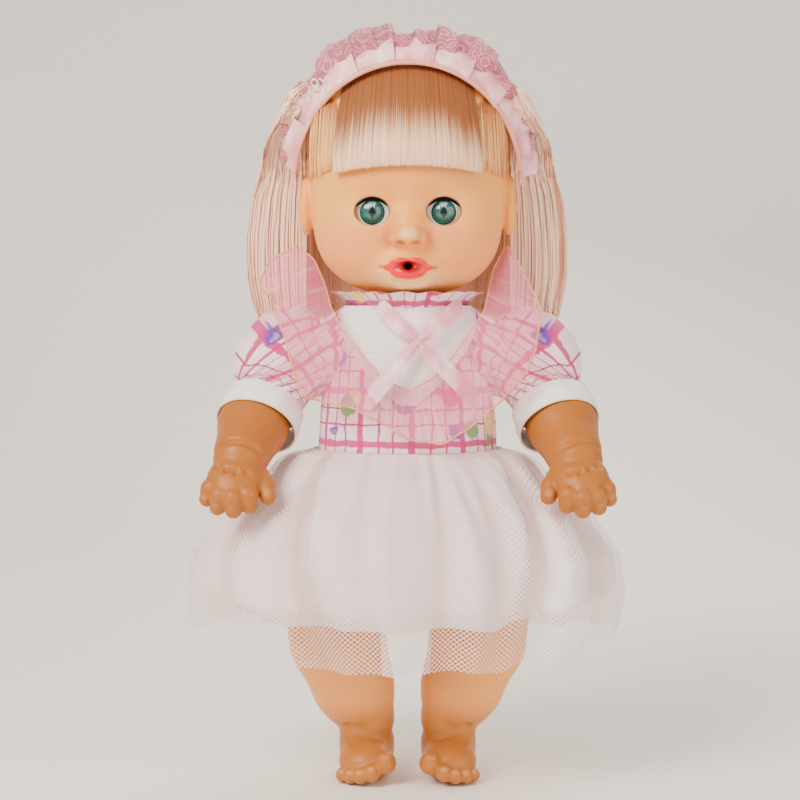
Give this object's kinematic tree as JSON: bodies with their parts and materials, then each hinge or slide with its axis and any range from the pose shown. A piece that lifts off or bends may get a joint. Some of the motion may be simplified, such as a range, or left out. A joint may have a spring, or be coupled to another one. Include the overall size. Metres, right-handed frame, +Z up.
{
  "type": "baby doll",
  "caption": "Standing baby doll with turning head, arms and legs, sleep eyes, long hair, headband and a plaid and tulle dress.",
  "frame": {"origin": "on the floor, under the middle of the doll", "axes": "+Z up, the doll faces -Y, its left side is +X"},
  "size_m": [0.2326, 0.1737, 0.3871],
  "materials": {
    "vinyl_face": "satin",
    "vinyl_limbs": "satin",
    "mouth_lining": "satin",
    "body_plastic": "satin",
    "eye_white": "gloss",
    "eye_housing": "matte",
    "iris": "gloss",
    "lash": "matte",
    "weight_steel": "satin",
    "hair": "satin",
    "band_plastic": "satin",
    "pink_satin": "satin",
    "pink_lace": "matte",
    "plaid_cotton": "matte",
    "white_cotton": "matte",
    "organza": "satin",
    "white_satin": "satin",
    "white_tulle": "matte",
    "hook_tape": "matte",
    "screw_steel": "satin",
    "box_plastic": "matte",
    "cell_jacket": "gloss",
    "board": "satin",
    "speaker_body": "matte",
    "button_rubber": "matte",
    "wire_jacket": "satin"
  },
  "bodies": {
    "torso": {"torso_front": "body_plastic", "torso_back": "body_plastic", "neck_ring": "body_plastic", "case_screws": "screw_steel", "battery_box": "box_plastic", "battery_cells": "cell_jacket", "battery_contacts": "screw_steel", "loudspeaker": "speaker_body", "circuit_board": "board", "push_switch": "box_plastic", "power_switch": "box_plastic", "battery_wires": "wire_jacket", "speaker_wires": "wire_jacket", "dress_bodice": "plaid_cotton", "dress_bib": "white_cotton", "organza_collar": "organza", "satin_bow": "pink_satin", "neck_ruffle": "plaid_cotton", "hook_and_loop": "hook_tape", "skirt_lining": "white_satin", "skirt_tulle": "white_tulle"},
    "head": {"head_shell": "vinyl_face", "eye_housing_left": "eye_housing", "eye_housing_right": "eye_housing", "mouth_tube": "mouth_lining", "hair_crown": "hair", "hair_fringe": "hair", "hair_fall": "hair"},
    "headband": {"headband_core": "band_plastic", "headband_ribbon": "pink_satin", "headband_lace": "pink_lace"},
    "eye_left": {"eyeball_left": "eye_white", "iris_lens_left": "iris", "eyelash_left": "lash", "eye_weight_left": "weight_steel"},
    "eye_right": {"eyeball_right": "eye_white", "iris_lens_right": "iris", "eyelash_right": "lash", "eye_weight_right": "weight_steel"},
    "arm_left": {"arm_left": "vinyl_limbs", "sleeve_left": "plaid_cotton", "cuff_left": "white_satin"},
    "arm_right": {"arm_right": "vinyl_limbs", "sleeve_right": "plaid_cotton", "cuff_right": "white_satin"},
    "leg_left": {"leg_left": "vinyl_limbs"},
    "leg_right": {"leg_right": "vinyl_limbs"},
    "battery_door": {"battery_door": "body_plastic", "door_screw": "screw_steel"},
    "tummy_button": {"tummy_button": "button_rubber"},
    "power_slider": {"power_slider": "box_plastic"}
  },
  "joints": [
    {"name": "neck_turn", "type": "hinge", "parent": "torso", "child": "head", "pos_m": [0, 0.007, 0.25], "axis": [0, 0, 1], "range_deg": [-60, 60]},
    {"name": "headband_lift", "type": "slide", "parent": "head", "child": "headband", "axis": [0, 0, 1], "range_m": [0, 0.04]},
    {"name": "eye_left_swing", "type": "hinge", "parent": "head", "child": "eye_left", "pos_m": [0.0178, -0.0238, 0.293], "axis": [1, 0, 0], "range_deg": [0, 75]},
    {"name": "shoulder_left", "type": "hinge", "parent": "torso", "child": "arm_left", "pos_m": [0.033, 0.007, 0.222], "axis": [-1, 0, 0], "range_deg": [-15, 80]},
    {"name": "hip_left", "type": "hinge", "parent": "torso", "child": "leg_left", "pos_m": [0.022, 0.007, 0.128], "axis": [-1, 0, 0], "range_deg": [-15, 75], "deforming": ["skirt_lining", "skirt_tulle"]},
    {"name": "eye_right_swing", "type": "hinge", "parent": "head", "child": "eye_right", "pos_m": [-0.0178, -0.0238, 0.293], "axis": [1, 0, 0], "range_deg": [0, 75]},
    {"name": "shoulder_right", "type": "hinge", "parent": "torso", "child": "arm_right", "pos_m": [-0.033, 0.007, 0.222], "axis": [-1, 0, 0], "range_deg": [-15, 80]},
    {"name": "hip_right", "type": "hinge", "parent": "torso", "child": "leg_right", "pos_m": [-0.022, 0.007, 0.128], "axis": [-1, 0, 0], "range_deg": [-15, 75], "deforming": ["skirt_lining", "skirt_tulle"]},
    {"name": "tummy_press", "type": "slide", "parent": "torso", "child": "tummy_button", "axis": [0, 1, 0], "range_m": [0, 0.0012], "stiffness_N_per_m": 400, "springref_m": -0.001},
    {"name": "power_slide", "type": "slide", "parent": "torso", "child": "power_slider", "axis": [0, 0, 1], "range_m": [0, 0.003]},
    {"name": "battery_door_lift", "type": "slide", "parent": "torso", "child": "battery_door", "axis": [0, 1, 0], "range_m": [0, 0.0045]}
  ]
}
